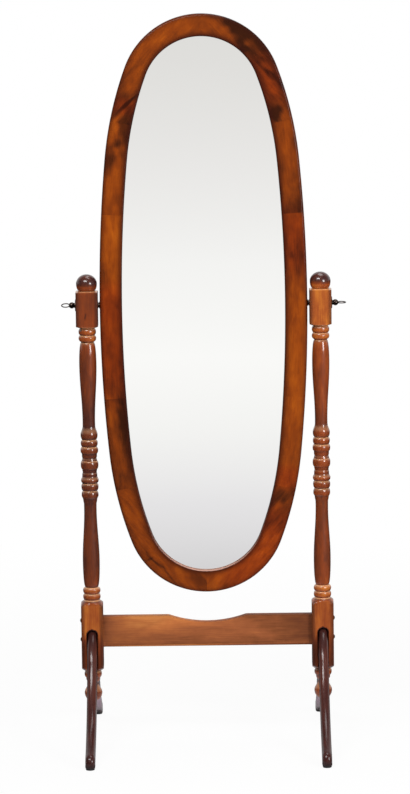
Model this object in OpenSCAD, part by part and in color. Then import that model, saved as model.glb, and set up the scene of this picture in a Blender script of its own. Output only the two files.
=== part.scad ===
// Free-standing oval dressing mirror: a tilting oval frame hung between two turned posts.
// Millimetres, +Z up, the floor is Z = 0. The glass faces -Y and the viewer's left is -X.

/* [Oval frame] */
// Half of the frame's width over its outer edges
frame_half_w = 212; // [206:1:218]
// Half of the frame's height over its outer edges
frame_half_h = 594; // [580:1:600]
// Height of the oval's centre above the floor
frame_centre_z = 909; // [905:1:930]
// Radius of the outer edge at the top and the bottom
end_r = 164.5; // [160:0.5:166]
// Radius of the outer edge between the ends and the sides
blend_r = 730; // [680:10:780]
// Radius of the outer edge along the sides
side_r = 3108; // [3000:1:3200]
// Width of the rail, from the outer edge to the glass opening
rail_w = 45.5; // [42:0.5:50]
// Thickness of the rail, front to back
rail_t = 22; // [20:0.5:26]
// Height of the glue joints nearest the centre, above and below it
near_joint_h = 190; // [150:5:220]
// Height of the glue joints nearest the ends, above and below the centre
far_joint_h = 380; // [340:5:420]

/* [Glass and back] */
// Thickness of the mirror glass
glass_t = 4; // [3:0.5:4]
// How far the glass reaches behind the rail's lip
glass_lap = 8; // [6:0.5:9]
// Thickness of the rail's lip in front of the glass
lip_t = 9; // [7:0.5:10]
// Thickness of the back panel
panel_t = 3; // [3:0.5:4]
// Width of the ledge that the back panel is screwed to
panel_ledge = 10; // [8:0.5:11]

/* [Pivots] */
// How far the pivots sit above the oval's centre, so that the frame hangs upright
pivot_rise = 4; // [2:0.5:10]
// Gap between the frame and each post
pivot_gap = 4.25; // [4:0.25:6]
// Diameter of the thumb screws' shanks
screw_d = 8; // [6:1:8]
// Length of shank inside the frame
screw_grip = 16; // [14:1:18]
// Radius of the ring handles, to the middle of the wire
ring_r = 8.4; // [7:0.1:10]
// Diameter of the ring handles' wire
ring_wire_d = 2.2; // [2:0.1:3]
// Turn of the left ring handle from level
left_ring_turn = 18; // [-90:1:90]
// Turn of the right ring handle from level
right_ring_turn = 4; // [-90:1:90]

/* [Posts] */
// Side of the square stock that the posts are turned from
stock = 44.5; // [42:0.5:48]
// Diameter of the cylinder that rounds the corners of the square blocks
corner_d = 60; // [58:0.5:61]

/* [Stretcher] */
// Height of the stretcher's lower edge above the floor
stretcher_z = 201.5; // [197:0.5:205]
// Depth of the stretcher board, top to bottom
stretcher_h = 64; // [60:0.5:70]
// Thickness of the stretcher board
stretcher_t = 20; // [18:0.5:24]
// Half of the width of the scoop in the top edge
scoop_half_w = 84; // [70:1:100]
// Depth of the scoop
scoop_depth = 14; // [8:1:18]
// Radius of the rounded corners where the scoop meets the top edge
scoop_corner_r = 25; // [15:1:30]

/* [Legs] */
// Thickness of each leg
leg_t = 20; // [18:0.5:21]
// Depth of the grooves in the posts that hold the legs
groove_depth = 7; // [5:0.5:8]
// Top of the grooves above the floor
groove_top_z = 239; // [234:0.5:245]
// Radius that rounds the legs' upper edges
leg_nose_r = 9; // [4:0.5:9.5]
// Radius that rounds the legs' lower edges
leg_belly_r = 3; // [2:0.5:4]
// Thickness of the glides under the toes
glide_t = 4; // [3:0.5:5]

/* [Hidden] */
$fn = 96;
// Sides of the big rail circles, drawn finely because their radii are large
rail_fn = 720;
// Straight steps in each curved stretch of a turned outline, and in each bead
curve_steps = 14;
bead_steps = 7;
// How far a chord may cut inside the arc that it stands for
chord_sag = 0.15;
// Radial room between a shank or dowel and its hole
fit = 0.05;
// Overshoot of a cutting shape past the surface that it cuts
over = 1;

// The outer edge's arcs: centres on the oval's axes, and the blend's centre where
// its circle touches both of the others from outside
end_c = [0, frame_half_h - end_r];
side_c = [frame_half_w - side_r, 0];
span = norm(end_c - side_c);
end_reach = blend_r - end_r;
side_reach = side_r - blend_r;
along = (end_reach * end_reach - side_reach * side_reach + span * span) / (2 * span);
across = sqrt(end_reach * end_reach - along * along);
to_side = (side_c - end_c) / span;
blend_c = end_c + along * to_side + across * [-to_side[1], to_side[0]];
// Directions in which one arc hands over to the next, and their heights above the centre
side_join = asin((blend_c - side_c)[1] / side_reach);
end_join = asin((end_c - blend_c)[1] / end_reach);
side_join_h = side_r * sin(side_join);
end_join_h = end_c[1] + end_r * sin(end_join);

// Depths in the rail, measured from its mid-plane towards the front
rail_front = rail_t / 2;
glass_front = rail_front - lip_t;
panel_front = glass_front - glass_t;
// Insets from the frame's outer edge
glass_inset = rail_w - glass_lap;
panel_inset = rail_w - glass_lap - panel_ledge;
panel_room = 0.5;
// Roundings of the rail's front outer, front inner and rear outer edges
front_round = 5;
sight_round = 3.5;
rear_round = 3;
// Dowels across each glue joint of the frame
frame_dowel_d = 8;
frame_dowel_len = 40;
frame_dowel_insets = [8.5, 20];
// Screws of the back panel: heights above the oval's centre on each side
panel_screw_heights = [-510, -410, -270, -110, 110, 270, 410, 510];
panel_screw_d = 3.5;
panel_screw_len = 10;
panel_screw_head_d = 7;
panel_screw_head_h = 2.2;

// Pivots
pivot_z = frame_centre_z + pivot_rise;
post_inner = frame_half_w + pivot_gap;
post_x = post_inner + stock / 2;
post_outer = post_inner + stock;
washer_d = 24;
washer_t = 1.6;
washer_room = 0.15;
spacer_d = 13.5;
spacer_waist_d = 10;
spacer_rim = 1.3;
spacer_room = 0.25;
insert_d = 12;
insert_len = 18;
ball_r = 6.4;
ball_x = post_outer + washer_t + 2 * washer_room + ball_r;
ring_x = ball_x + ball_r + ring_r - ring_wire_d;

// Turned outline of a post from its top down: height, radius, and how the outline
// runs from the row above: "line", "curve" (an S), "swell" (out to a crown) or
// "round" (away from a crown). Blocks are the stretches at corner_r.
corner_r = corner_d / 2;
post_rows = [
    [976.5, 0, "line"],
    [957.5, 21.2, "swell"],
    [943.2, 15.8, "round"],
    [942.8, 20.5, "line"],
    [940.6, corner_r, "line"],
    [870.6, corner_r, "line"],
    [868.6, 22.3, "line"],
    [866.4, 16.6, "line"],
    [864.8, 15, "line"],
    [858.5, 17.9, "swell"],
    [851.7, 14.2, "round"],
    [845.5, 18, "swell"],
    [838.2, 13.2, "round"],
    [836.5, 13.2, "line"],
    [791, 17.7, "swell"],
    [672, 12.8, "curve"],
    [663.5, 12.9, "line"],
    [645, 17.45, "curve"],
    [635.4, 13.7, "round"],
    [628.2, 17.4, "swell"],
    [620.6, 14.4, "round"],
    [613, 18.15, "swell"],
    [606.6, 15.6, "round"],
    [599.4, 15.4, "line"],
    [597, 14.4, "line"],
    [593.5, 15.4, "line"],
    [591, 15.8, "line"],
    [582.5, 18.15, "swell"],
    [574, 15.2, "round"],
    [571.5, 15.2, "line"],
    [567.6, 14.3, "line"],
    [563.8, 15.4, "line"],
    [559.2, 15.4, "line"],
    [551, 18.15, "curve"],
    [544.6, 14.3, "round"],
    [537.4, 17.6, "swell"],
    [529, 14.1, "round"],
    [518.8, 17.4, "swell"],
    [510.5, 14.5, "curve"],
    [500.5, 12.95, "curve"],
    [490, 12.85, "line"],
    [381, 17.45, "curve"],
    [328, 13.3, "round"],
    [326.6, 13.3, "line"],
    [320, 17.9, "swell"],
    [313.4, 14.4, "round"],
    [307, 17.95, "swell"],
    [300.8, 15.6, "round"],
    [299.6, 16.6, "line"],
    [289.5, corner_r, "line"],
    [159, corner_r, "line"],
    [150.6, 17.5, "line"],
    [149.8, 15, "line"],
    [143.6, 17.95, "swell"],
    [136.4, 14.9, "round"],
    [131.5, 14.3, "line"],
    [124.5, 10.4, "curve"],
    [104, 18.3, "curve"],
    [86, 4.2, "round"],
    [82, 0, "round"]
];

// Stretcher fasteners: bolts through each post into barrel nuts
bolt_heights = [256, 216];
bolt_d = 6;
bolt_grip = 34;
bolt_head_d = 10.5;
bolt_head_h = 3;
nut_d = 10;
nut_len = 14;
nut_hole_depth = 17;

// Scoop of the stretcher's top edge: a large arc that meets two small corner arcs
stretcher_top = stretcher_z + stretcher_h;
scoop_r = (scoop_half_w * scoop_half_w + scoop_depth * scoop_depth) / (2 * scoop_depth)
    - scoop_corner_r;
scoop_c = stretcher_top - scoop_depth + scoop_r;
scoop_share = scoop_r / (scoop_r + scoop_corner_r);
scoop_join_x = scoop_half_w * scoop_share;
scoop_join_z = scoop_c - (scoop_c - stretcher_top + scoop_corner_r) * scoop_share;

// Legs, drawn side-on: outward from the post's centre, then up from the floor
groove_floor = stock / 2 - groove_depth;
groove_r = leg_t / 2 + 0.5;
groove_bevel = 1.5;
// Upper edge, outwards: start, heading, then radius and turn of each arc
leg_top_start = [12, 236.5];
leg_top_heading = -32;
leg_top_arcs = [[152, -30], [315.5, 42], [20, -102]];
// Lower edge, from the heel of the toe back to the post
leg_belly_start = [230, 2.5];
leg_belly_heading = 118;
leg_belly_arcs = [[16, 38], [620, -24]];
// Steps in the rounding of a leg's edges
edge_steps = 4;
glide_d = leg_t - 2;
glide_y = 239;
leg_dowel_heights = [206, 178];
leg_dowel_d = 8;
leg_dowel_len = 30;
leg_dowel_in = 20;

stand_wood = "#7a3418";
block_wood = "#8a3f1c";
frame_wood = "#96481a";
dark_metal = "#2c2624";
plain_steel = "#b8bac0";

// ---- Shared shapes ----

// Point at an angle on a circle about the origin
function polar(r, angle) = [r * cos(angle), r * sin(angle)];

// Turn of the longest chord that an arc of radius r may be drawn with
function chord_turn(r) = 2 * acos(1 - chord_sag / r);

// Points of one stretch of a turned outline, as radius and height
function stretch(a, b) =
    b[2] == "line" ? [[b[1], b[0]]] :
    b[2] == "curve" ?
        [for (i = [1:curve_steps]) let (t = i / curve_steps)
            [a[1] + (b[1] - a[1]) * (1 - cos(180 * t)) / 2, a[0] + (b[0] - a[0]) * t]] :
    b[2] == "swell" ?
        [for (i = [1:bead_steps]) let (t = 90 * i / bead_steps)
            [a[1] + (b[1] - a[1]) * sin(t), a[0] + (b[0] - a[0]) * (1 - cos(t))]] :
        [for (i = [1:bead_steps]) let (t = 90 * i / bead_steps)
            [b[1] + (a[1] - b[1]) * cos(t), a[0] + (b[0] - a[0]) * sin(t)]];

// Whole turned outline, starting at the first row
function turned_outline(rows) = concat(
    [[rows[0][1], rows[0][0]]],
    [for (i = [1:len(rows) - 1]) each stretch(rows[i - 1], rows[i])]);

// Mirror to the left side when side is -1, and leave on the right when it is 1
module on_side(side) {
    scale_x = side < 0 ? 1 : 0;
    mirror([scale_x, 0, 0]) children();
}

// Turn a shape made along +Z so that it runs along +X from the pivot line
module along_pivot(x) {
    translate([x, 0, pivot_z]) rotate([0, 90, 0]) children();
}

// Stand a flat shape up in the oval's plane: its X and Y become X and Z, its top faces the front
module upright() {
    translate([0, 0, frame_centre_z]) rotate([90, 0, 0]) children();
}

// Region to cut away so that a square corner becomes round; the corner points along sx, sy
module corner_cut(x, y, r, sx, sy) {
    translate([x, y]) scale([sx, sy]) difference() {
        translate([-r, -r]) square(r + over);
        translate([-r, -r]) circle(r);
    }
}

// ---- Oval frame ----

// Arc angle at a height above the oval's centre
function side_angle(h) = asin(h / side_r);
function blend_angle(h) = asin((h - blend_c[1]) / blend_r);

// Half-width of the oval at a height, drawn in from the outer edge by an inset
function half_width(h, inset) =
    let (d = abs(h))
    d < side_join_h ? side_c[0] + sqrt(pow(side_r - inset, 2) - d * d) :
    d < end_join_h ? blend_c[0] + sqrt(pow(blend_r - inset, 2) - pow(d - blend_c[1], 2)) :
    sqrt(pow(end_r - inset, 2) - pow(d - end_c[1], 2));

// Points along one of the outer edge's arcs, drawn in by an inset
function edge_points(centre, r, from, to, inset) =
    let (steps = ceil((to - from) / chord_turn(r)))
    [for (i = [0:steps]) centre + polar(r - inset, from + (to - from) * i / steps)];

// The upper right quarter of the oval, from the side up to the top
function quarter_oval(inset) = concat(
    edge_points(side_c, side_r, 0, side_join, inset),
    edge_points(blend_c, blend_r, side_join, end_join, inset),
    edge_points(end_c, end_r, end_join, 90, inset));

// Filled oval, drawn in from the outer edge by an inset
module oval(inset) {
    quarter = quarter_oval(inset);
    last = len(quarter) - 1;
    polygon(concat(
        quarter,
        [for (i = [last:-1:0]) [-quarter[i][0], quarter[i][1]]],
        [for (i = [0:last]) -quarter[i]],
        [for (i = [last:-1:0]) [quarter[i][0], -quarter[i][1]]]));
}

// Cross-section of the rail on an arc of the given outer radius
module rail_section(r) {
    difference() {
        translate([r - rail_w, -rail_front]) square([rail_w, rail_t]);
        translate([r - rail_w - over, -rail_front - over])
            square([rail_w - glass_inset + over, glass_front + rail_front + over]);
        translate([r - rail_w - over, -rail_front - over])
            square([rail_w - panel_inset + over, panel_front + rail_front + over]);
        corner_cut(r, rail_front, front_round, 1, 1);
        corner_cut(r, -rail_front, rear_round, 1, -1);
        corner_cut(r - rail_w, rail_front, sight_round, -1, 1);
    }
}

// Rail that turns one way from angle 0 on an arc of the given radius
module rail_turn(r, turn) {
    rotate_extrude(angle = abs(turn), start = min(0, turn), $fn = rail_fn) rail_section(r);
}

// Rail over a join of two arcs: back along the first and on along the second
module rail_over_join(centre, join, r1, back, r2, on) {
    translate([centre[0], centre[1], 0]) rotate([0, 0, join]) {
        rail_turn(r1, -back);
        translate([r1 - r2, 0, 0]) rail_turn(r2, on);
    }
}

// Dowels of the glue joint at a height, in the right half; the joint at the very top
// or bottom of the oval is square to the axis
module joint_dowels(h, d) {
    flat = abs(h) >= frame_half_h;
    tilt = flat ? 90 : abs(h) < side_join_h ? side_angle(h) : sign(h) * blend_angle(abs(h));
    outer = flat ? [0, h] : [half_width(h, 0), h];
    inward = flat ? [0, -sign(h)] : -polar(1, tilt);
    for (inset = frame_dowel_insets)
        translate([outer[0] + inset * inward[0], outer[1] + inset * inward[1], 0])
            rotate([0, 0, flat ? 0 : tilt + 90])
                rotate([0, 90, 0]) cylinder(d = d, h = frame_dowel_len, center = true);
}

// All the dowels of the frame, or their holes
module all_joint_dowels(d) {
    for (h = [-frame_half_h, frame_half_h]) joint_dowels(h, d);
    for (s = [0, 1]) mirror([s, 0, 0])
        for (h = [near_joint_h, far_joint_h, -near_joint_h, -far_joint_h]) joint_dowels(h, d);
}

// Place something at each screw of the back panel, pointing to the front
module at_panel_screws() {
    inset = (glass_inset + panel_inset) / 2;
    for (h = panel_screw_heights, side = [-1, 1])
        translate([side * half_width(h, inset), h, panel_front]) children();
}

// A frame piece with its dowel holes, screw holes and pivot pocket; side and half are
// -1 or 1 for left or right, and for the lower or the upper half
module frame_piece(side, half) {
    color(frame_wood) upright() difference() {
        on_side(side) mirror([0, half < 0 ? 1 : 0, 0]) children();
        all_joint_dowels(frame_dowel_d + 2 * fit);
        at_panel_screws()
            translate([0, 0, -over]) cylinder(d = panel_screw_d + 2 * fit, h = panel_screw_len);
        on_side(side) translate([frame_half_w - insert_len - fit, pivot_rise, 0])
            rotate([0, 90, 0]) cylinder(d = insert_d + 2 * fit, h = insert_len + over + fit);
    }
}

module frame_middle(side) {
    frame_piece(side, 1) translate([side_c[0], 0, 0])
        rotate([0, 0, -side_angle(near_joint_h)]) rail_turn(side_r, 2 * side_angle(near_joint_h));
}

module frame_flank(side, half) {
    frame_piece(side, half) rail_over_join(side_c, side_join,
        side_r, side_join - side_angle(near_joint_h),
        blend_r, blend_angle(far_joint_h) - side_join);
}

module frame_end(side, half) {
    frame_piece(side, half) rail_over_join(blend_c, end_join,
        blend_r, end_join - blend_angle(far_joint_h),
        end_r, 90 - end_join);
}

module frame_dowels() {
    color("#c9a26b") upright() all_joint_dowels(frame_dowel_d);
}

module mirror_glass() {
    color("#dfe3e4") upright() translate([0, 0, panel_front])
        linear_extrude(glass_t) oval(glass_inset + panel_room);
}

module back_panel() {
    color("#7d5a3c") upright() difference() {
        translate([0, 0, panel_front - panel_t])
            linear_extrude(panel_t) oval(panel_inset + panel_room);
        at_panel_screws()
            translate([0, 0, -panel_t - over])
                cylinder(d = panel_screw_d + 2 * fit, h = panel_t + 2 * over);
    }
}

module back_panel_screws() {
    color(plain_steel) upright() at_panel_screws() {
        translate([0, 0, -panel_t]) cylinder(d = panel_screw_d, h = panel_screw_len - over);
        translate([0, 0, -panel_t - panel_screw_head_h])
            cylinder(d1 = panel_screw_head_d - 2, d2 = panel_screw_head_d, h = panel_screw_head_h);
    }
}

// ---- Pivots ----

module threaded_insert(side) {
    color("#b08d4a") on_side(side) along_pivot(frame_half_w - insert_len) difference() {
        cylinder(d = insert_d, h = insert_len);
        translate([0, 0, -over]) cylinder(d = screw_d + 2 * fit, h = insert_len + 2 * over);
    }
}

// Spool that fills the gap between frame and post
module pivot_spacer(side) {
    waist = pivot_gap - spacer_room - 2 * spacer_rim;
    color(dark_metal) on_side(side) along_pivot(frame_half_w + spacer_room) difference() {
        union() {
            cylinder(d = spacer_d, h = spacer_rim);
            cylinder(d = spacer_waist_d, h = pivot_gap - spacer_room);
            translate([0, 0, spacer_rim + waist]) cylinder(d = spacer_d, h = spacer_rim);
        }
        translate([0, 0, -over]) cylinder(d = screw_d + 2 * fit, h = pivot_gap + 2 * over);
    }
}

module pivot_washer(side) {
    color(dark_metal) on_side(side) along_pivot(post_outer + washer_room) difference() {
        cylinder(d = washer_d, h = washer_t);
        translate([0, 0, -over]) cylinder(d = screw_d + 2 * fit, h = washer_t + 2 * over);
    }
}

// Shank with a ball head and a collar under it
module thumb_screw(side) {
    shank_start = frame_half_w - screw_grip;
    collar_h = ball_r / 2;
    color(dark_metal) on_side(side) {
        along_pivot(shank_start) cylinder(d = screw_d, h = ball_x - shank_start);
        along_pivot(ball_x - ball_r) cylinder(r = 0.8 * ball_r, h = collar_h);
        translate([ball_x, 0, pivot_z]) sphere(ball_r);
    }
}

// Closed ring of wire, brazed into the ball
module screw_ring(side, turn) {
    color(dark_metal) on_side(side) translate([ring_x, 0, pivot_z]) rotate([turn, 0, 0])
        rotate_extrude() translate([ring_r, 0]) circle(d = ring_wire_d);
}

// ---- Stand ----

// Arched groove for a leg on the rear face, with a bevelled mouth
module leg_groove() {
    mouth_y = stock / 2;
    arch_z = groove_top_z - groove_r;
    translate([0, groove_floor, arch_z]) rotate([-90, 0, 0])
        cylinder(r = groove_r, h = groove_depth + over);
    translate([-groove_r, groove_floor, 0]) cube([2 * groove_r, groove_depth + over, arch_z]);
    translate([0, mouth_y - groove_bevel, arch_z]) rotate([-90, 0, 0])
        cylinder(r1 = groove_r, r2 = groove_r + groove_bevel, h = groove_bevel);
    translate([0, mouth_y, 0]) linear_extrude(arch_z) polygon([
        [-groove_r, -groove_bevel], [groove_r, -groove_bevel],
        [groove_r + groove_bevel, 0], [-groove_r - groove_bevel, 0]]);
}

// Place something at each leg dowel of one side: at the groove's floor, pointing outward along +Y
module at_leg_dowels() {
    for (half = [0, 1], z = leg_dowel_heights)
        mirror([0, half, 0]) translate([post_x, groove_floor, z]) rotate([-90, 0, 0]) children();
}

// One post: the turned outline, squared where it is wider than the stock
module post(side) {
    dowel_in_post = leg_dowel_len - leg_dowel_in;
    color(block_wood) on_side(side) difference() {
        translate([post_x, 0, 0]) intersection() {
            rotate_extrude() polygon(turned_outline(post_rows));
            translate([-stock / 2, -stock / 2, 0]) cube([stock, stock, pivot_z + stock + stock]);
        }
        for (half = [0, 1]) mirror([0, half, 0]) translate([post_x, 0, 0]) leg_groove();
        at_leg_dowels() translate([0, 0, -dowel_in_post])
            cylinder(d = leg_dowel_d + 2 * fit, h = leg_dowel_len);
        along_pivot(post_inner - over) cylinder(d = screw_d + 2 * fit, h = stock + 2 * over);
        for (z = bolt_heights) translate([post_inner - over, 0, z]) rotate([0, 90, 0])
            cylinder(d = bolt_d + 2 * fit, h = stock + 2 * over);
    }
}

module scoop() {
    intersection() {
        translate([0, scoop_c]) circle(scoop_r);
        translate([-scoop_join_x, 0]) square([2 * scoop_join_x, stretcher_top + over]);
    }
    for (s = [0, 1]) mirror([s, 0]) difference() {
        translate([scoop_join_x - fit, scoop_join_z])
            square([scoop_half_w - scoop_join_x + fit, stretcher_top - scoop_join_z + over]);
        translate([scoop_half_w, stretcher_top - scoop_corner_r]) circle(scoop_corner_r);
    }
}

module stretcher() {
    color(block_wood) difference() {
        translate([0, stretcher_t / 2, 0]) rotate([90, 0, 0]) linear_extrude(stretcher_t)
            difference() {
                translate([-post_inner, stretcher_z]) square([2 * post_inner, stretcher_h]);
                scoop();
            }
        for (side = [-1, 1]) on_side(side) for (z = bolt_heights) {
            translate([post_inner - bolt_grip, 0, z]) rotate([0, 90, 0])
                cylinder(d = bolt_d + 2 * fit, h = bolt_grip + over);
            translate([post_inner - bolt_grip, stretcher_t / 2 - nut_hole_depth, z])
                rotate([-90, 0, 0]) cylinder(d = nut_d + 2 * fit, h = nut_hole_depth + over);
        }
    }
}

// Bolts with domed heads, from the outside of each post into the barrel nuts
module stretcher_bolts() {
    dome_r = (pow(bolt_head_d / 2, 2) + pow(bolt_head_h, 2)) / (2 * bolt_head_h);
    color(dark_metal) for (side = [-1, 1]) on_side(side) for (z = bolt_heights) {
        translate([post_inner - bolt_grip, 0, z]) rotate([0, 90, 0])
            cylinder(d = bolt_d, h = bolt_grip + stock + bolt_head_h / 2);
        translate([post_outer, 0, z]) rotate([0, 90, 0]) intersection() {
            cylinder(d = bolt_head_d, h = bolt_head_h);
            translate([0, 0, bolt_head_h - dome_r]) sphere(dome_r);
        }
    }
}

module stretcher_barrel_nuts() {
    color(plain_steel) for (side = [-1, 1]) on_side(side) for (z = bolt_heights)
        translate([post_inner - bolt_grip, stretcher_t / 2 - nut_hole_depth, z]) difference() {
            rotate([-90, 0, 0]) cylinder(d = nut_d, h = nut_len);
            translate([0, nut_hole_depth - stretcher_t / 2, 0]) rotate([0, 90, 0])
                cylinder(d = bolt_d + 2 * fit, h = nut_d);
        }
}

// Chain of tangent arcs: each arc is its start point, heading, radius and turn
function arc_centre(a) = a[0] + sign(a[3]) * a[2] * [-sin(a[1]), cos(a[1])];
function arc_start_angle(a) = a[1] - 90 * sign(a[3]);
function arc_end(a) = arc_centre(a) + polar(a[2], arc_start_angle(a) + a[3]);
function chain(start, heading, arcs, i = 0) =
    i == len(arcs) ? [] :
    let (a = [start, heading, arcs[i][0], arcs[i][1]])
    concat([a], chain(arc_end(a), heading + a[3], arcs, i + 1));

// Points along a chain, drawn in towards the wood, which lies on the right of the path.
// What lies past the groove's floor or below the glide is brought back to it.
function edge_path(arcs, inset) = [
    for (k = [0:len(arcs) - 1])
        let (a = arcs[k], steps = ceil(abs(a[3]) / chord_turn(a[2])))
        for (i = [(k == 0 ? 0 : 1):steps])
            let (p = arc_centre(a) + polar(a[2] + sign(a[3]) * inset,
                arc_start_angle(a) + a[3] * i / steps))
            [max(groove_floor, p[0]), max(glide_t, p[1])]];

leg_top = chain(leg_top_start, leg_top_heading, leg_top_arcs);
leg_belly = chain(leg_belly_start, leg_belly_heading, leg_belly_arcs);

// One ring of a leg's surface: its outline part-way round the rounded edges, where angle 0
// is on the flat of the leg's side and 90 is at its full outline
function leg_ring(angle, side) =
    let (left = 1 - sin(angle), over_edge = 1 - cos(angle))
    concat(
        [for (p = edge_path(leg_top, leg_nose_r * left))
            [p[0], p[1], side * (leg_t / 2 - leg_nose_r * over_edge)]],
        [for (p = edge_path(leg_belly, leg_belly_r * left))
            [p[0], p[1], side * (leg_t / 2 - leg_belly_r * over_edge)]]);

// Triangles over a leg's flat side, from point i of the ring's upper edge and point j of its
// lower edge out to the tip, where the upper edge ends: each takes the shorter way across
function flat_side(ring, i, j, tip) =
    i == tip && j == tip + 1 ? [] :
    j == tip + 1 || i < tip && norm(ring[i + 1] - ring[j]) < norm(ring[i] - ring[j - 1]) ?
        concat([[i, i + 1, j]], flat_side(ring, i + 1, j, tip)) :
        concat([[i, j - 1, j]], flat_side(ring, i, j - 1, tip));

// A leg side-on, its thickness centred on the plane: rings from one face to the other
module leg_shape() {
    rings = concat(
        [for (i = [0:edge_steps]) leg_ring(90 * i / edge_steps, 1)],
        [for (i = [edge_steps:-1:0]) leg_ring(90 * i / edge_steps, -1)]);
    count = len(rings[0]);
    last = len(rings) - 1;
    side = flat_side(rings[0], 0, count - 1, len(edge_path(leg_top, 0)) - 1);
    polyhedron(
        points = [for (ring = rings) each ring],
        faces = concat(
            side,
            [for (f = side) [for (i = [2:-1:0]) last * count + f[i]]],
            [for (k = [0:last - 1], i = [0:count - 1]) let (j = (i + 1) % count)
                each [[k * count + i, (k + 1) * count + i, k * count + j],
                    [k * count + j, (k + 1) * count + i, (k + 1) * count + j]]]));
}

// A leg in its post's groove; half is -1 for the front and 1 for the rear
module leg(side, half) {
    color(stand_wood) on_side(side) mirror([0, half < 0 ? 1 : 0, 0]) difference() {
        translate([post_x, 0, 0]) rotate([90, 0, 90]) leg_shape();
        for (z = leg_dowel_heights) translate([post_x, groove_floor - over, z])
            rotate([-90, 0, 0]) cylinder(d = leg_dowel_d + 2 * fit, h = leg_dowel_in + over);
    }
}

module leg_dowels() {
    dowel_in_post = leg_dowel_len - leg_dowel_in;
    color("#c9a26b") for (side = [-1, 1]) on_side(side) at_leg_dowels()
        translate([0, 0, -dowel_in_post]) cylinder(d = leg_dowel_d, h = leg_dowel_len);
}

module foot_glides() {
    color("#1d1a1a") for (side = [-1, 1], half = [-1, 1])
        translate([side * post_x, half * glide_y, 0]) cylinder(d = glide_d, h = glide_t);
}

post(-1);  // left_post
post(1);  // right_post
stretcher();
stretcher_bolts();
stretcher_barrel_nuts();
leg(-1, -1);  // front_left_leg
leg(1, -1);  // front_right_leg
leg(-1, 1);  // rear_left_leg
leg(1, 1);  // rear_right_leg
leg_dowels();
foot_glides();
pivot_spacer(-1);  // left_pivot_spacer
pivot_spacer(1);  // right_pivot_spacer
frame_middle(-1);  // frame_left_middle
frame_middle(1);  // frame_right_middle
frame_flank(-1, 1);  // frame_left_upper
frame_flank(1, 1);  // frame_right_upper
frame_flank(-1, -1);  // frame_left_lower
frame_flank(1, -1);  // frame_right_lower
frame_end(-1, 1);  // frame_top_left
frame_end(1, 1);  // frame_top_right
frame_end(-1, -1);  // frame_bottom_left
frame_end(1, -1);  // frame_bottom_right
frame_dowels();
mirror_glass();
back_panel();
back_panel_screws();
threaded_insert(-1);  // left_threaded_insert
threaded_insert(1);  // right_threaded_insert
pivot_washer(-1);  // left_washer
pivot_washer(1);  // right_washer
thumb_screw(-1);  // left_thumb_screw
thumb_screw(1);  // right_thumb_screw
screw_ring(-1, left_ring_turn);  // left_screw_ring
screw_ring(1, right_ring_turn);  // right_screw_ring
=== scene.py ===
"""Looks of the oval floor mirror: turned posts, curved legs, scooped stretcher, jointed oval
frame and bronze pivot screws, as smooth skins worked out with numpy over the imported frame.

Sizes are in millimetres in the part's own frame until mesh_piece() turns them to metres. The
glass faces -Y. side is -1 for the left and 1 for the right, and half is -1 for the front, or the
lower half of the frame, and 1 for the rear, or the upper half.
"""

import bmesh
import bpy
import numpy as np
from mathutils import Matrix, Vector

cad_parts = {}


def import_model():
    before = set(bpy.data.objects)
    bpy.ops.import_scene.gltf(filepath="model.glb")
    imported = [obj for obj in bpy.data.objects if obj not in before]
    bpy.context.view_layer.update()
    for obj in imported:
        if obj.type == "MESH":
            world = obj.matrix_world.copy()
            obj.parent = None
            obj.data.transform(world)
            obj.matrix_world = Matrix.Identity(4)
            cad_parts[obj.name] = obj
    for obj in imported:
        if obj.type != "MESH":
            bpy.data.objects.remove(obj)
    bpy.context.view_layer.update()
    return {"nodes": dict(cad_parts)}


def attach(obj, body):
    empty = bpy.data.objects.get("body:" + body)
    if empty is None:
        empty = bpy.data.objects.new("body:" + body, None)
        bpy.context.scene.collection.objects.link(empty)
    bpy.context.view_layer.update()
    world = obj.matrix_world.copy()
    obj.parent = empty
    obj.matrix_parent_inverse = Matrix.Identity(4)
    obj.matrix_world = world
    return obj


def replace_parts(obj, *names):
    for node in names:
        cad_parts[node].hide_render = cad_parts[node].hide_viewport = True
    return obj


MM = 0.001

# ---- Sizes, as in the part's source ----
# Oval frame: half width, half height and middle, the radii of its three arcs, its rail, the
# seats of the glass and the back panel, and the heights of its glue joints
HALF_W, HALF_H, CENTRE_Z = 212.0, 594.0, 909.0
END_R, BLEND_R, SIDE_R = 164.5, 730.0, 3108.0
RAIL_W, RAIL_T, LIP_T, GLASS_T = 45.5, 22.0, 9.0, 4.0
GLASS_LAP, PANEL_LEDGE = 8.0, 10.0
GLASS_INSET = RAIL_W - GLASS_LAP
PANEL_INSET = GLASS_INSET - PANEL_LEDGE
NEAR_JOINT, FAR_JOINT = 190.0, 380.0
# Pivot: spacer between frame and post, washer, ball-headed screw and its ring
PIVOT_Z, SPACER_T, SPACER_PLAY = 913.0, 4.0, 0.25
SPACER_R, SPACER_WAIST_R, SPACER_FLANGE_T = 6.75, 5.0, 1.3
WASHER_R, WASHER_T, SEAT_PLAY, BORE_R = 12.0, 1.6, 0.15, 4.05
SHANK_R, SHANK_DEPTH, COLLAR_R, COLLAR_T = 4.0, 16.0, 5.1, 1.8
BALL_R, BALL_X, RING_X, RING_R, RING_WIRE = 6.4, 269.05, 281.65, 8.4, 2.2
# Degrees from level at which each side's ring stands
RING_TURN = {-1: 18.0, 1: 4.0}
# Posts, and the grooves in them that hold the legs
STOCK = 44.5
POST_INNER = HALF_W + SPACER_PLAY + SPACER_T
POST_X = POST_INNER + STOCK / 2
POST_OUTER = POST_INNER + STOCK
GROOVE_FLOOR, GROOVE_R, GROOVE_TOP, GROOVE_BEVEL = 15.25, 10.5, 239.0, 1.5
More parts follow.
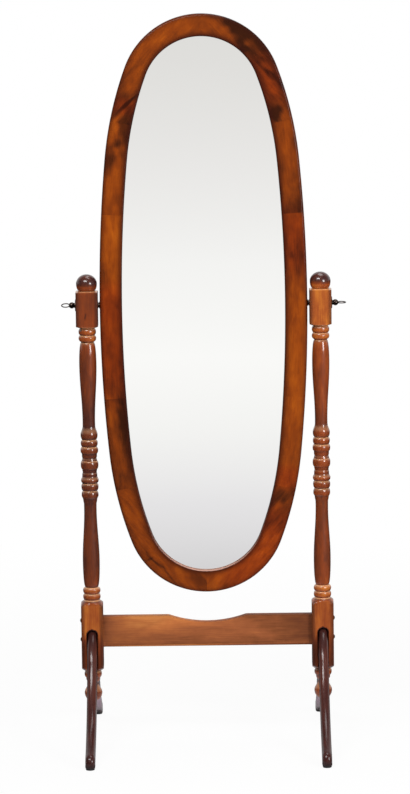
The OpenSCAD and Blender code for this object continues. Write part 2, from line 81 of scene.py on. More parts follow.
# Legs and glides
LEG_T, LEG_REACH, GLIDE_T, GLIDE_D, GLIDE_Y = 20.0, 249.36, 4.0, 18.0, 239.0
LEG_UPPER_ROUND, LEG_LOWER_ROUND, LEG_END_ROUND = 9.0, 3.0, 5.0
# Stretcher, its scoop, and its bolts and barrel nuts
STRETCHER_T, STRETCHER_LOW, STRETCHER_TOP, STRETCHER_ROUND = 20.0, 201.5, 265.5, 1.6
SCOOP_HALF, SCOOP_DEPTH, SCOOP_CORNER_R = 84.0, 14.0, 25.0
BOLT_HEIGHTS, BOLT_R, BOLT_HEAD_R, BOLT_HEAD_T = (256.0, 216.0), 3.0, 5.25, 2.85
NUT_X, NUT_HOLE_R, NUT_HOLE_DEPTH = 182.25, 5.05, 17.0

# Edges sharper than these degrees stay crisp: on plain pieces, and on pieces with holes cut
CRISP, CRISP_CUT = 35, 32
# A radius on a turning axis is this small and not 0, so that the end caps have an area
POLE = 0.02


# ---- Meshes ----
def shade(mesh, crisp):
    """Smooth shading, apart from the edges that turn by more than crisp degrees."""
    mesh.polygons.foreach_set("use_smooth", [True] * len(mesh.polygons))
    mesh.set_sharp_from_angle(angle=np.radians(crisp))


def mesh_piece(name, verts, faces, attributes=None):
    """An object from points in millimetres, turned outwards if its signed volume is negative,
    with any named values stored at its points."""
    mesh = bpy.data.meshes.new(name)
    mesh.from_pydata((verts * MM).tolist(), [], faces)
    solid = bmesh.new()
    solid.from_mesh(mesh)
    if solid.calc_volume(signed=True) < 0:
        mesh.flip_normals()
    solid.free()
    for key, values in (attributes or {}).items():
        kind = "FLOAT_VECTOR" if np.ndim(values) == 2 else "FLOAT"
        slot = mesh.attributes.new(key, kind, "POINT")
        slot.data.foreach_set("vector" if kind == "FLOAT_VECTOR" else "value",
                              np.asarray(values, np.float32).ravel())
    shade(mesh, CRISP)
    piece = bpy.data.objects.new(name, mesh)
    bpy.context.scene.collection.objects.link(piece)
    return piece


def grid_piece(name, grid, attributes=None, ring=False):
    """A closed piece from a grid of points (rows, cols, 3): each point and its next neighbours
    down and across make a quad. Its columns close on themselves, and its rows do too where it is
    a ring, or else have a cap at each end."""
    rows, cols = grid.shape[:2]
    i, j = np.meshgrid(np.arange(rows if ring else rows - 1), np.arange(cols), indexing="ij")
    below, beside = (i + 1) % rows * cols, (j + 1) % cols
    quads = np.stack([i * cols + j, i * cols + beside, below + beside, below + j], -1)
    faces = quads.reshape(-1, 4).tolist()
    if not ring:
        faces += [list(range(cols))[::-1], list(range((rows - 1) * cols, rows * cols))]
    return mesh_piece(name, grid.reshape(-1, 3), faces, attributes)


def join(name, pieces):
    """Several pieces of one node made into one object."""
    with bpy.context.temp_override(active_object=pieces[0], selected_editable_objects=pieces,
                                   object=pieces[0], selected_objects=pieces):
        bpy.ops.object.join()
    pieces[0].name = name
    return pieces[0]


def lathe(profile, turns=48):
    """A body turned about +Z: its profile's radius and height carried round the axis."""
    a = np.linspace(0, 2 * np.pi, turns, endpoint=False)
    r, z = profile[:, 0:1], profile[:, 1:2]
    return np.stack([r * np.cos(a), r * np.sin(a), z + 0 * a], -1)


def place(grid, axes, origin):
    """A grid made about +Z, with its x, y and z laid along three row axes and moved to origin."""
    return grid @ np.array(axes, float) + np.array(origin, float)


def fillet(corners, spacing, step=15.0):
    """A closed outline through corners (x, y, radius). Each corner is an arc tangent to both of
    its sides: it starts and ends at the radius over the tangent of half the corner's angle, round
    a centre at the radius over its sine, with a point every step degrees. Each side has a point
    at least every spacing."""
    c = np.array(corners, float)
    count = len(c)
    rounds = []
    for i in range(count):
        p, a, b, r = c[i, :2], c[i - 1, :2], c[(i + 1) % count, :2], c[i, 2]
        if r <= 0:
            rounds.append(p[None])
            continue
        u, v = (a - p) / np.linalg.norm(a - p), (b - p) / np.linalg.norm(b - p)
        half = np.arccos(np.clip(u @ v, -1, 1)) / 2
        start, end = p + u * r / np.tan(half), p + v * r / np.tan(half)
        mid = p + (u + v) / np.linalg.norm(u + v) * r / np.sin(half)
        first = np.arctan2(*(start - mid)[::-1])
        turn = (np.arctan2(*(end - mid)[::-1]) - first + np.pi) % (2 * np.pi) - np.pi
        n = max(2, int(np.ceil(abs(np.degrees(turn)) / step)))
        t = first + turn * np.linspace(0, 1, n + 1)
        rounds.append(mid + r * np.stack([np.cos(t), np.sin(t)], -1))
    outline = []
    for i in range(count):
        outline.append(rounds[i])
        a, b = rounds[i][-1], rounds[(i + 1) % count][0]
        n = int(np.ceil(np.linalg.norm(b - a) / spacing))
        if n > 1:
            outline.append(a + (b - a) * np.linspace(0, 1, n + 1)[1:-1, None])
    return np.concatenate(outline)


def board(outline, thickness, radius, steps=6):
    """A board with rounded edges, as rings (rings, points, 3) whose last axis runs through its
    thickness. The outline is drawn in by radius times one less the sine, and moved across by
    radius times one less the cosine, of an angle that grows to 90 degrees from each face. One
    more ring, a little further in, keeps each face flat. radius has a value for each point."""
    flat_margin = 0.8
    ahead, behind = np.roll(outline, -1, 0), np.roll(outline, 1, 0)
    along = ahead - behind
    along /= np.linalg.norm(along, axis=1, keepdims=True)
    area = 0.5 * np.sum(outline[:, 0] * ahead[:, 1] - ahead[:, 0] * outline[:, 1])
    inward = np.stack([-along[:, 1], along[:, 0]], -1) * np.sign(area)
    r = radius[:, None]
    rings = []
    for face in (1, -1):
        edge = [(inward * (r + flat_margin), face * (thickness / 2 + 0 * r))]
        for a in np.radians(np.linspace(0, 90, steps + 1)):
            across = face * (thickness / 2 - r * (1 - np.cos(a)))
            edge.append((inward * r * (1 - np.sin(a)), across))
        rings += [np.concatenate([outline + inset, across], 1) for inset, across in edge[::face]]
    return np.stack(rings)


def cut(piece, cutters):
    """The piece with each cutter's solid taken away, and the cutters gone."""
    for cutter in cutters:
        step = piece.modifiers.new("cut", "BOOLEAN")
        step.operation, step.solver, step.object = "DIFFERENCE", "EXACT", cutter
    bpy.context.view_layer.update()
    shaped = piece.evaluated_get(bpy.context.evaluated_depsgraph_get())
    mesh = bpy.data.meshes.new_from_object(shaped)
    piece.modifiers.clear()
    piece.data = mesh
    for cutter in cutters:
        bpy.data.objects.remove(cutter)
    shade(mesh, CRISP_CUT)
    return piece


# ---- Materials ----
def linear(hex_code):
    """An sRGB hex colour as linear red, green, blue and alpha."""
    c = np.array([int(hex_code[i:i + 2], 16) for i in (1, 3, 5)]) / 255
    c = np.where(c <= 0.04045, c / 12.92, ((c + 0.055) / 1.055) ** 2.4)
    return (*c.tolist(), 1.0)


def add(tree, kind, inputs=None, ramp=None, **settings):
    """Adds a node: an input that is a socket is linked, any other is set, and a ramp's stops are
    (position, hex colour)."""
    made = tree.nodes.new("ShaderNode" + kind)
    for key, value in settings.items():
        setattr(made, key, value)
    for key, value in (inputs or {}).items():
        if isinstance(value, bpy.types.NodeSocket):
            tree.links.new(value, made.inputs[key])
        else:
            made.inputs[key].default_value = value
    if ramp:
        stops = made.color_ramp.elements
        while len(stops) < len(ramp):
            stops.new(1.0)
        for stop, (position, colour) in zip(stops, ramp):
            stop.position, stop.color = position, linear(colour)
    return made


def material(name):
    """An empty material with its tree and output."""
    made = bpy.data.materials.new(name)
    made.use_nodes = True
    made.node_tree.nodes.clear()
    return made, made.node_tree, made.node_tree.nodes.new("ShaderNodeOutputMaterial")


def lacquered_wood(name, tones, pores, clouds, curl, spread, edge, shine, gloss,
                   lustre="#D6A694", where=None):
    """Stained hardwood under sprayed lacquer. The stain takes unevenly in soft clouds and across
    the curly figure, darker in the fine pores and redder where the piece's red value rises. The
    maker's toner, coloured edge, darkens it where its edge value rises. Painted light, standing in
    for highlights and for light bounced up from the floor, turns it towards a pale colour where
    its painted-light value rises. The level that picks the colour is the piece's tone value plus
    each pattern, from 0 to 1, times its reach.

    tones are hex colours from the darkest to the lightest. pores, clouds and curl are the sizes
    in millimetres (x, y, z) of each pattern, and spread is the clouds' reach. shine is the
    lacquer's weight, and gloss its roughness. where is None for the piece's own place, or the
    name of a stored board direction."""
    curl_reach, pore_reach, tone_span = 0.1, 0.26, 0.6
    made, tree, out = material(name)
    if where:
        place_in = add(tree, "Attribute", attribute_name=where).outputs["Vector"]
    else:
        place_in = add(tree, "TexCoord").outputs["Object"]
    level = add(tree, "Attribute", attribute_name="tone").outputs["Fac"]
    patterns = []
    for size, detail, reach in ((clouds, 3.0, spread), (curl, 2.0, curl_reach),
                                (pores, 5.0, pore_reach)):
        scaled = add(tree, "Mapping", {"Vector": place_in, "Scale": [1 / (s * MM) for s in size]})
        noise = add(tree, "TexNoise", {"Vector": scaled.outputs[0], "Scale": 1.0,
                                       "Detail": detail, "Distortion": 0.3}).outputs["Fac"]
        level = add(tree, "Math", {0: noise, 1: reach, 2: level},
                    operation="MULTIPLY_ADD").outputs[0]
        patterns.append(noise)
    # The patterns' middle lies half of their reach above the tone
    start = 0.5 * (spread + curl_reach + pore_reach) - tone_span / 2
    stops = [(start + tone_span * i / (len(tones) - 1), t) for i, t in enumerate(tones)]
    stain = add(tree, "Mix", {
        "Factor": add(tree, "Attribute", attribute_name="red").outputs["Fac"],
        "A": add(tree, "ValToRGB", {"Fac": level}, ramp=stops).outputs["Color"],
        "B": linear("#FFE2F0")}, data_type="RGBA", blend_type="MULTIPLY").outputs["Result"]
    ragged = add(tree, "Math", {0: patterns[0], 1: 0.5}, operation="ADD").outputs[0]
    toner = add(tree, "Math", {0: add(tree, "Attribute", attribute_name="edge").outputs["Fac"],
                               1: ragged}, operation="MULTIPLY", use_clamp=True).outputs[0]
    toned = add(tree, "Mix", {"Factor": toner, "A": stain, "B": linear(edge)},
                data_type="RGBA").outputs["Result"]
    # Painted light: highlights and floor bounce painted as a paler colour where the painted-light
    # value rises
    colour = add(tree, "Mix", {
        "Factor": add(tree, "Attribute", attribute_name="painted_light").outputs["Fac"],
        "A": toned, "B": linear(lustre)}, data_type="RGBA").outputs["Result"]
    bump = add(tree, "Bump", {"Height": patterns[2], "Strength": 0.06, "Distance": 0.0003})
    surface = add(tree, "BsdfPrincipled", {
        "Base Color": colour, "Roughness": 0.45, "Specular IOR Level": 0.2 * shine,
        "Coat Weight": shine, "Coat Roughness": gloss, "Coat IOR": 1.5,
        "Normal": bump.outputs[0]})
    tree.links.new(surface.outputs[0], out.inputs["Surface"])
    return made


def plain_finish(name, colour, metallic, rough, spot, spot_mm):
    """A one-colour surface with fine mottling, spot_mm across: it darkens the colour by up to the
    share spot, and takes the roughness from four fifths of rough to five quarters of it."""
    made, tree, out = material(name)
    where = add(tree, "TexCoord").outputs["Object"]
    dapple = add(tree, "TexNoise", {"Vector": where, "Scale": 1 / (spot_mm * MM), "Detail": 4.0,
                                    "Roughness": 0.6}).outputs["Fac"]
    base = linear(colour)
    dark = tuple(c * (1 - spot) for c in base[:3]) + (1.0,)
    mixed = add(tree, "Mix", {"Factor": dapple, "A": dark, "B": base}, data_type="RGBA")
    lustre = add(tree, "MapRange", {"Value": dapple, "To Min": rough * 0.8, "To Max": rough * 1.25})
    surface = add(tree, "BsdfPrincipled", {
        "Base Color": mixed.outputs["Result"], "Metallic": metallic,
        "Roughness": lustre.outputs[0]})
    tree.links.new(surface.outputs[0], out.inputs["Surface"])
    return made


# ---- Oval frame ----
# Centres of the end arc and of the right side's arc, measured from the oval's middle
END_C, SIDE_C = np.array([0, HALF_H - END_R]), np.array([HALF_W - SIDE_R, 0])


def blend_centre():
    """Where the arc that touches the end arc and the side arc has its centre: the third corner
    of a triangle whose sides are their centres' distance and the radii's differences."""
    span = np.linalg.norm(END_C - SIDE_C)
    end_reach, side_reach = BLEND_R - END_R, SIDE_R - BLEND_R
    along = (end_reach ** 2 - side_reach ** 2 + span ** 2) / (2 * span)
    across = np.sqrt(end_reach ** 2 - along ** 2)
    to_side = (SIDE_C - END_C) / span
    return END_C + along * to_side + across * np.array([-to_side[1], to_side[0]])


BLEND_C = blend_centre()
# Degrees at which the arcs meet
SIDE_JOIN = np.degrees(np.arcsin((BLEND_C - SIDE_C)[1] / (SIDE_R - BLEND_R)))
END_JOIN = np.degrees(np.arcsin((END_C - BLEND_C)[1] / (BLEND_R - END_R)))


def stations(arcs, pitch=3.0):
    """Centre, radius and angle at a station every pitch along arcs (centre, radius, from, to)."""
    rows = []
    for k, (centre, radius, start, stop) in enumerate(arcs):
        n = int(np.ceil(np.radians(abs(stop - start)) * radius / pitch))
        angles = np.linspace(start, stop, n + 1)[(0 if k == 0 else 1):]
        rows.append(np.stack([np.full_like(angles, centre[0]), np.full_like(angles, centre[1]),
                              np.full_like(angles, radius), np.radians(angles)], -1))
    return np.concatenate(rows)


def rail_profile():
    """Closed cross-section of the rail, as (inset from the outer edge, Y): straight sides whose
    corners are rounded arcs, with two steps behind the lip for the glass and the panel."""
    front, back = -RAIL_T / 2, RAIL_T / 2
    glass_y, panel_y = front + LIP_T, front + LIP_T + GLASS_T
    return fillet([(0, front, 5), (RAIL_W, front, 3.5), (RAIL_W, glass_y, 0.4),
                   (GLASS_INSET, glass_y, 0.3), (GLASS_INSET, panel_y, 0.4),
                   (PANEL_INSET, panel_y, 0.3), (PANEL_INSET, back, 0.6), (0, back, 3)], 1.5)


def angle_at(height, centre, radius):
    """Degrees at which an arc reaches a height: the arcsine of its rise over its radius."""
    return np.degrees(np.arcsin((height - centre[1]) / radius))


NEAR_ANGLE = angle_at(NEAR_JOINT, SIDE_C, SIDE_R)
FAR_ANGLE = angle_at(FAR_JOINT, BLEND_C, BLEND_R)
MIDDLE = [(SIDE_C, SIDE_R, -NEAR_ANGLE, NEAR_ANGLE)]
FLANK = [(SIDE_C, SIDE_R, NEAR_ANGLE, SIDE_JOIN), (BLEND_C, BLEND_R, SIDE_JOIN, FAR_ANGLE)]
END = [(BLEND_C, BLEND_R, FAR_ANGLE, END_JOIN), (END_C, END_R, END_JOIN, 90.0)]
# Each segment: arcs, where its run along the rail starts, side, half, how light its stain is,
# and its own stretch of board
SEGMENTS = {
    "frame_left_middle": (MIDDLE, -NEAR_JOINT, -1, 1, 0.0, 0.0),
    "frame_right_middle": (MIDDLE, -NEAR_JOINT, 1, 1, 0.02, 1.7),
    "frame_left_upper": (FLANK, NEAR_JOINT, -1, 1, -0.03, 3.1),
    "frame_right_upper": (FLANK, NEAR_JOINT, 1, 1, -0.05, 4.6),
    "frame_left_lower": (FLANK, NEAR_JOINT, -1, -1, -0.09, 6.2),
    "frame_right_lower": (FLANK, NEAR_JOINT, 1, -1, 0.04, 7.9),
    "frame_top_left": (END, FAR_JOINT, -1, 1, -0.03, 9.3),
    "frame_top_right": (END, FAR_JOINT, 1, 1, -0.09, 11.1),
    "frame_bottom_left": (END, FAR_JOINT, -1, -1, -0.03, 12.7),
    "frame_bottom_right": (END, FAR_JOINT, 1, -1, 0.0, 14.4),
}
# Darker and lighter figure in the wood: side, run along the rail up from the middle of the side,
# inset from the outer edge, half length, half width, lean towards the sight edge in degrees, and
# change of tone
PATCHES = [
    (-1, 110, 36, 90, 12, 0, 0.1), (-1, 165, 24, 40, 16, 0, 0.08),
    (-1, -120, 22, 90, 60, 0, -0.06), (-1, 60, 12, 26, 14, 0, -0.14),
    (-1, 298, 7, 24, 14, 12, -0.26), (-1, 334, 18, 14, 8, 60, -0.14),
    (-1, 376, 34, 48, 13, -4, -0.26), (-1, 410, 20, 42, 3.5, 34, -0.16),
    (-1, 432, 33, 38, 3, 36, -0.12), (-1, 545, 24, 90, 22, 0, 0.02),
    (-1, 426, 10, 46, 14, 0, -0.08), (-1, 362, 9, 24, 9, 0, 0.12),
    (-1, -216, 13, 28, 13, 0, 0.14), (-1, -262, 38, 80, 10, 0, -0.18),
    (-1, -548, 19, 22, 2.2, 8, -0.16), (-1, -578, 15, 20, 2.2, -24, -0.16),
    (-1, -532, 12, 9, 2.2, 80, -0.14), (-1, -640, 27, 24, 12, -30, -0.12),
    (-1, -600, 24, 26, 9, -50, 0.12),
    (1, 115, 22, 66, 30, 0, -0.13), (1, -110, 20, 120, 40, 0, 0.05),
    (1, 212, 14, 26, 24, 0, -0.08), (1, 335, 24, 48, 20, 0, 0.04),
    (1, 399, 34, 16, 15, 0, -0.24), (1, 468, 13, 48, 6, 30, -0.2),
    (1, 530, 30, 36, 8, 8, -0.2), (1, 584, 16, 46, 12, -34, -0.22),
    (1, 556, 4, 62, 14, 0, -0.24), (1, 628, 24, 30, 20, 0, 0.08),
    (1, -402, 26, 30, 12, 48, -0.22), (1, -445, 20, 30, 24, 0, -0.05),
    (1, -495, 30, 12, 10, 0, 0.06), (1, -565, 22, 80, 24, 0, 0.08),
]
# Where the stain is redder: side, run along the rail, and half length
RED_STRETCHES = [
    (-1, -105, 90), (-1, 10, 40), (-1, 415, 18), (1, 130, 70), (1, 470, 60), (1, -360, 26),
    (1, -470, 50), (1, -560, 70),
]


def patch_tone(side, run, inset):
    """How far the figure lightens or darkens a point of the rail: the sum over the patches of
    each one's change times exp(-d cubed), d being the point's distance within the leaning
    ellipse, whose outline is ruffled by waves along the rail."""
    tone = np.zeros_like(run)
    for at, where, deep, long, wide, lean, change in PATCHES:
        if at == side:
            c, s = np.cos(np.radians(lean)), np.sin(np.radians(lean))
            ahead = (run - where) * (1 if where > 0 else -1)
            u, v = (ahead * c + (inset - deep) * s) / long, ((inset - deep) * c - ahead * s) / wide
            ruffle = 0.14 * np.sin(ahead / 8 + inset / 5) + 0.1 * np.sin(ahead / 4.3 - inset / 6)
            tone += change * np.exp(-(np.hypot(u, v) * (1 + ruffle)) ** 3)
    return tone


def board_place(grid, stretch):
    """Each point's place in the segment's own board, in metres: along the straight line from one
    glue joint to the other, as it was sawn, then across it, then through its thickness."""
    points = grid.reshape(-1, 3)
    run = grid[-1].mean(0) - grid[0].mean(0)
    run = run[[0, 2]] / np.linalg.norm(run[[0, 2]])
    along = points[:, 0] * run[0] + points[:, 2] * run[1]
    across = -points[:, 0] * run[1] + points[:, 2] * run[0]
    return np.stack([along * MM + stretch, across * MM, points[:, 1] * MM], -1)


def frame_segment(name):
    """The rail's cross-section carried along the segment's arcs, at each radius less its inset,
    and mirrored to its quarter. The toner fades as exp(-d squared), d being the distance over
    7 mm from the outer edge and over 9 mm from the sight edge. The red fades as exp(-d to the
    fourth) along each stretch."""
    arcs, start, side, half, tone, stretch = SEGMENTS[name]
    rows = stations(arcs)
    profile = rail_profile()
    centre_x, centre_z, radius, angle = (rows[:, k:k + 1] for k in range(4))
    inset = np.broadcast_to(profile[None, :, 0], (len(rows), len(profile)))
    y = np.broadcast_to(profile[None, :, 1], inset.shape)
    x = side * (centre_x + (radius - inset) * np.cos(angle))
    z = CENTRE_Z + half * (centre_z + (radius - inset) * np.sin(angle))
    grid = np.stack([x, y, z], -1)
    steps = np.linalg.norm(np.diff(grid.mean(1), axis=0), axis=1)
    run = half * (start + np.concatenate([[0], np.cumsum(steps)]))[:, None] + 0 * inset
    rim = 0.6 * np.exp(-(inset / 7) ** 2) + 0.85 * np.exp(-((RAIL_W - inset) / 9) ** 2)
    red = sum(np.exp(-((run - at) / long) ** 4)
              for where, at, long in RED_STRETCHES if where == side)
    # Painted highlight: the lower sight edge is painted pale, where its rounding would catch the
    # light from above
    painted_light = (half < 0) * np.sin(angle) ** 2 * np.clip(inset - RAIL_W + 2, 0, 1) * (y < 0)
    piece = grid_piece(name + "_wood", grid, {
        "board": board_place(grid, stretch), "edge": rim.ravel(), "red": np.ravel(red),
        "painted_light": painted_light.ravel(), "tone": tone + patch_tone(side, run.ravel(), inset.ravel())})
    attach(piece, "mirror")
    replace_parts(piece, name)
    return piece


# ---- Posts ----
# Rows of the turned outline from the top down: height, radius and how the outline runs from the
# row above, as in the part's source. At a radius of 30 the square stock is left whole.
POST_ROWS = [
    (976.5, 0, "line"), (957.5, 21.2, "swell"), (943.2, 15.8, "round"), (942.8, 20.5, "line"),
    (940.6, 30, "line"), (870.6, 30, "line"), (868.6, 22.3, "line"), (866.4, 16.6, "line"),
    (864.8, 15, "line"), (858.5, 17.9, "swell"), (851.7, 14.2, "round"), (845.5, 18, "swell"),
    (838.2, 13.2, "round"), (836.5, 13.2, "line"), (791, 17.7, "swell"), (672, 12.8, "curve"),
    (663.5, 12.9, "line"), (645, 17.45, "curve"), (635.4, 13.7, "round"), (628.2, 17.4, "swell"),
    (620.6, 14.4, "round"), (613, 18.15, "swell"), (606.6, 15.6, "round"), (599.4, 15.4, "line"),
    (597, 14.4, "line"), (593.5, 15.4, "line"), (591, 15.8, "line"), (582.5, 18.15, "swell"),
    (574, 15.2, "round"), (571.5, 15.2, "line"), (567.6, 14.3, "line"), (563.8, 15.4, "line"),
    (559.2, 15.4, "line"), (551, 18.15, "curve"), (544.6, 14.3, "round"), (537.4, 17.6, "swell"),
    (529, 14.1, "round"), (518.8, 17.4, "swell"), (510.5, 14.5, "curve"), (500.5, 12.95, "curve"),
    (490, 12.85, "line"), (381, 17.45, "curve"), (328, 13.3, "round"), (326.6, 13.3, "line"),
    (320, 17.9, "swell"), (313.4, 14.4, "round"), (307, 17.95, "swell"), (300.8, 15.6, "round"),
    (299.6, 16.6, "line"), (289.5, 30, "line"), (159, 30, "line"), (150.6, 17.5, "line"),
    (149.8, 15, "line"), (143.6, 17.95, "swell"), (136.4, 14.9, "round"), (131.5, 14.3, "line"),
    (124.5, 10.4, "curve"), (104, 18.3, "curve"), (86, 4.2, "round"), (82, 0, "round"),
]
# Angles over an eighth of a turn, close together where the square's face meets its round corner
OCTANT = np.array([0, 5, 10, 15, 20, 25, 30, 34, 37, 39, 40.4, 41.3, 41.9, 42.5, 43.3, 44.2])
# How light the stain is at each height: the finials are dark, the right post is redder and
# lighter than the left one, and both lower blocks are light down to the legs' grooves
TONE_HEIGHTS = [82, 205, 232, 290, 296, 328, 334, 380, 490, 510, 650, 675, 850, 866, 869, 940,
                942.8, 943.5, 948, 956, 962]
POST_TONES = {
    -1: [0, 0, 0.18, 0.16, 0.06, 0.04, -0.04, -0.12, -0.12, -0.12, -0.14, -0.14, 0, 0.05, -0.02,
         -0.02, 0.16, 0.24, 0.06, -0.2, -0.34],
    1: [0, 0, 0.16, 0.12, 0.12, 0.1, 0, -0.04, -0.03, -0.02, -0.04, -0.04, 0.08, 0.14, 0.16,
        0.18, 0.4, 0.4, 0.2, -0.06, -0.32],
}
# Places on the posts, by height: where the turning under the upper block ends, the upper
# block's top and bottom edges, which are painted light, and the fleck
TURNED_TOP, BLOCK_TOP_EDGE, BLOCK_LOW_EDGE, FLECK_Z = 866, 942.2, 867.5, 892
# The fleck's distance from the post's axis, towards the outside
FLECK_OUT = 2.6
# Degrees at which the stock's flat face meets its round corner
CORNER = 42.1


def turned_profile():
    """Radius and height down a post: S-curves are half a cosine, swells and rounds a quarter of
    an ellipse. Each row takes 3 to 16 points, about 1.1 mm apart on swells and rounds and 2.2 mm
    apart elsewhere, and the blocks' long straight rows one every 2.5 mm."""
    r, z = [POLE], [POST_ROWS[0][0]]
    for (z0, r0, _), (z1, r1, kind) in zip(POST_ROWS, POST_ROWS[1:]):
        pitch = 1.1 if kind in ("swell", "round") else 2.2
        n = int(np.clip(np.ceil(abs(z1 - z0) / pitch), 3, 16))
        if kind == "line" and abs(z1 - z0) > 20:
            n = int(np.ceil(abs(z1 - z0) / 2.5))
        t = np.linspace(0, 1, n + 1)[1:]
        if kind == "line":
            r.extend(r0 + (r1 - r0) * t)
            z.extend(z0 + (z1 - z0) * t)
        elif kind == "curve":
            r.extend(r0 + (r1 - r0) * (1 - np.cos(np.pi * t)) / 2)
            z.extend(z0 + (z1 - z0) * t)
        elif kind == "swell":
            r.extend(r0 + (r1 - r0) * np.sin(np.pi / 2 * t))
            z.extend(z0 + (z1 - z0) * (1 - np.cos(np.pi / 2 * t)))
        else:
            r.extend(r1 + (r0 - r1) * np.cos(np.pi / 2 * t))
            z.extend(z0 + (z1 - z0) * np.sin(np.pi / 2 * t))
    return np.maximum(np.array(r), POLE), np.array(z)


def post_stain(side, r, z, a, grid):
    """The stain's values over a post's grid, with its painted light. The tone follows the heights'
    table, and rises by 0.09 for each mm that the radius exceeds its mean over 15 mm of height. The
    toner is dark at the stock's corners, fading as exp(-d squared), d being the angle from the
    corner over 7 degrees, and in the left post's fleck. Painted highlights pale the beads' slopes
    that face up, as a light from above would, and painted light pales the upper block's top and
    bottom edges."""
    around = np.zeros(len(a))
    heights = np.arange(70, 1000)
    radius_at = np.interp(heights, z[::-1], r[::-1])
    window = 15
    padded = np.pad(radius_at, window // 2, "edge")
    mean = np.convolve(padded, np.full(window, 1 / window), "valid")
    crest = np.clip(r - np.interp(z, heights, mean), -1.5, 1.5) * (r < 21)
    tone = (np.interp(z, TONE_HEIGHTS, POST_TONES[side]) + 0.09 * crest)[:, None] + around

    # Painted highlight on the beads' slopes that face up, and painted light along the upper
    # block's edges
    upward = np.clip(np.gradient(r) / np.maximum(np.abs(np.gradient(z)), 0.05) - 0.15, 0, 1)
    bead_highlight = 0.8 * upward * (z < TURNED_TOP) * (r < 18.4)
    arris_light = (0.6 * np.exp(-((z - BLOCK_TOP_EDGE) / 0.9) ** 2)
             + 0.35 * np.exp(-((z - BLOCK_LOW_EDGE) / 1.8) ** 2))
    painted_light = np.maximum(bead_highlight, arris_light)[:, None] + around

    to_corner = np.abs((np.degrees(a) + 45) % 90 - 45)
    sharp = (np.exp(-((CORNER - to_corner) / 7) ** 2)[None, :]
             * np.clip((r[:, None] - 21) / 3, 0, 1))
    across, up = grid[..., 0] + POST_X + FLECK_OUT, grid[..., 2] - FLECK_Z
    fleck = np.exp(-((across - 0.2 * up) / 1.6) ** 2 - (up / 7) ** 4) * (grid[..., 1] < -20)
    edge = 0.6 * sharp + 0.9 * fleck * (side < 0)
    return {"tone": tone.ravel(), "edge": edge.ravel(), "painted_light": painted_light.ravel()}


def post_piece(side):
    """The lesser of the turned radius and the square stock's radius at each angle, cut by the
    legs' grooves. Where the two differ by less than the blend, they are mixed by their difference
    over it, less the blend times both shares, which softens the edges where they meet."""
    blend = 0.45
    r, z = turned_profile()
    quarter = np.concatenate([OCTANT, [45.0], 90 - OCTANT[:0:-1]])
    a = np.radians(np.concatenate([quarter + turn for turn in (0, 90, 180, 270)]))
    square_r = ((STOCK / 2) / np.maximum(np.abs(np.cos(a)), np.abs(np.sin(a))))[None, :]
    round_r = r[:, None]
    share = np.clip(0.5 + 0.5 * (square_r - round_r) / blend, 0, 1)
    radius = square_r * (1 - share) + round_r * share - blend * share * (1 - share)
    grid = np.stack([side * POST_X + radius * np.cos(a), radius * np.sin(a),
                     np.broadcast_to(z[:, None], radius.shape)], -1)
    name = ("left" if side < 0 else "right") + "_post"
    piece = grid_piece(name + "_wood", grid, post_stain(side, r, z, a, grid))
    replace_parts(cut(piece, [groove_cutter(side, half) for half in (-1, 1)]), name)
    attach(piece, "stand")
    return piece


def groove_cutter(side, half):
    """The arched groove for a leg, as sections outwards from its floor: half a circle over two
    upright walls that run out below the post, grown by the bevel over the mouth."""
    arch = np.radians(np.linspace(0, 180, 25))
    mouth, clear, below = STOCK / 2, 3, 40
    rings = []
    for y, extra in ((GROOVE_FLOOR, 0), (mouth - GROOVE_BEVEL, 0), (mouth, GROOVE_BEVEL),
                     (mouth + clear, GROOVE_BEVEL)):
        r = GROOVE_R + extra
        top = np.stack([r * np.cos(arch), GROOVE_TOP - GROOVE_R + r * np.sin(arch)], -1)
        arch_ring = np.concatenate([top, [[-r, below], [r, below]]])
        rings.append(np.stack([side * POST_X + arch_ring[:, 0],
                               np.full(len(arch_ring), half * y), arch_ring[:, 1]], -1))
    return grid_piece("groove", np.stack(rings))


# ---- Legs ----
# The side outline's two edges, as in the part's source: where each starts, out from the post's
# axis and up, its heading in degrees, and the radius and turn of each arc
LEG_UPPER_EDGE = ((12, 236.5), -32, [(152, -30), (315.5, 42), (20, -102)])
LEG_LOWER_EDGE = ((230, 2.5), 118, [(16, 38), (620, -24)])


def arc_chain(start, heading, arcs, pitch=2.5):
    """Points along arcs (radius, turn in degrees) that each start where the last one ended, in
    its direction: each arc's centre is one radius away, square to the heading."""
    p, h = np.array(start, float), heading
    points = [p[None]]
    for radius, turn in arcs:
        s = np.sign(turn)
        centre = p + s * radius * np.array([-np.sin(np.radians(h)), np.cos(np.radians(h))])
        n = int(np.ceil(abs(np.radians(turn)) * radius / pitch))
        a = np.radians(h - 90 * s + turn * np.linspace(0, 1, n + 1)[1:])
        points.append(centre + radius * np.stack([np.cos(a), np.sin(a)], -1))
        p, h = points[-1][-1], h + turn
    return np.concatenate(points)


